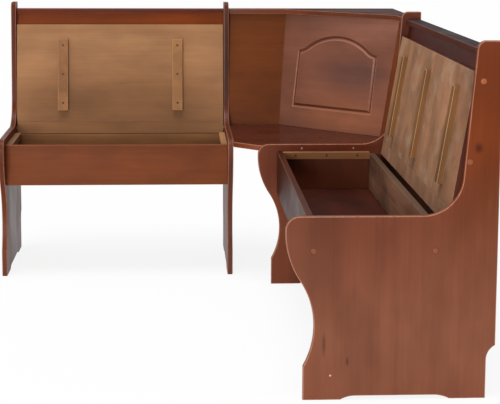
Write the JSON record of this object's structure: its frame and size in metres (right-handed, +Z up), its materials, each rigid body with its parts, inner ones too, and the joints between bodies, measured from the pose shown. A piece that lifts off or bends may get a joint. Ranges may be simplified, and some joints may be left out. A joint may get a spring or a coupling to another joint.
{
  "type": "corner storage bench",
  "caption": "L-shaped dining nook bench in stained wood: short and long storage benches with hinged lids, scrolled side panels and a corner seat with a leaning, arch-carved back.",
  "frame": {"origin": "middle of the floor plan's bounding box, at the floor", "axes": "+Y towards the wall behind the short bench and along the long bench, +X towards the wall behind the long bench, +Z up"},
  "size_m": [1.395, 1.85, 0.908],
  "materials": {
    "stained_wood": "red-brown stain under a semi-gloss lacquer",
    "dark_stained_wood": "darker red-brown stain under a semi-gloss lacquer",
    "raw_plywood": "unfinished, dull",
    "batten_wood": "unfinished planed softwood",
    "pin_steel": "plain drawn rod"
  },
  "bodies": {
    "frame": {"left_outer_side": "stained_wood", "left_inner_side": "stained_wood", "right_inner_side": "stained_wood", "right_outer_side": "stained_wood", "left_front_rail": "stained_wood", "left_rear_rail": "raw_plywood", "left_back_rail": "dark_stained_wood", "left_bin_floor": "dark_stained_wood", "left_outer_cleat": "batten_wood", "left_inner_cleat": "batten_wood", "left_back_panel": "stained_wood", "left_cap_rail": "dark_stained_wood", "right_front_rail": "stained_wood", "right_rear_rail": "raw_plywood", "right_back_rail": "dark_stained_wood", "right_bin_floor": "dark_stained_wood", "right_outer_cleat": "batten_wood", "right_inner_cleat": "batten_wood", "right_back_panel": "stained_wood", "right_cap_rail": "dark_stained_wood", "corner_seat": "dark_stained_wood", "corner_back_left": "stained_wood", "corner_back_diagonal": "stained_wood", "corner_back_right": "stained_wood", "corner_cap": "dark_stained_wood"},
    "left_lid": {"left_lid_board": "raw_plywood", "left_lid_pivot_strip": "raw_plywood", "left_lid_batten_1": "batten_wood", "left_lid_batten_2": "batten_wood", "left_lid_pin_outer": "pin_steel", "left_lid_pin_inner": "pin_steel"},
    "right_lid": {"right_lid_board": "raw_plywood", "right_lid_pivot_strip": "raw_plywood", "right_lid_batten_1": "batten_wood", "right_lid_batten_2": "batten_wood", "right_lid_batten_3": "batten_wood", "right_lid_pin_outer": "pin_steel", "right_lid_pin_inner": "pin_steel"}
  },
  "joints": [
    {"name": "left_lid_hinge", "type": "hinge", "parent": "frame", "child": "left_lid", "pos_m": [-0.305, 0.81139, 0.4573], "axis": [1, 0, 0], "range_deg": [0, 99.28]},
    {"name": "right_lid_hinge", "type": "hinge", "parent": "frame", "child": "right_lid", "pos_m": [0.58389, -0.305, 0.4573], "axis": [0, -1, 0], "range_deg": [0, 99.28]}
  ]
}
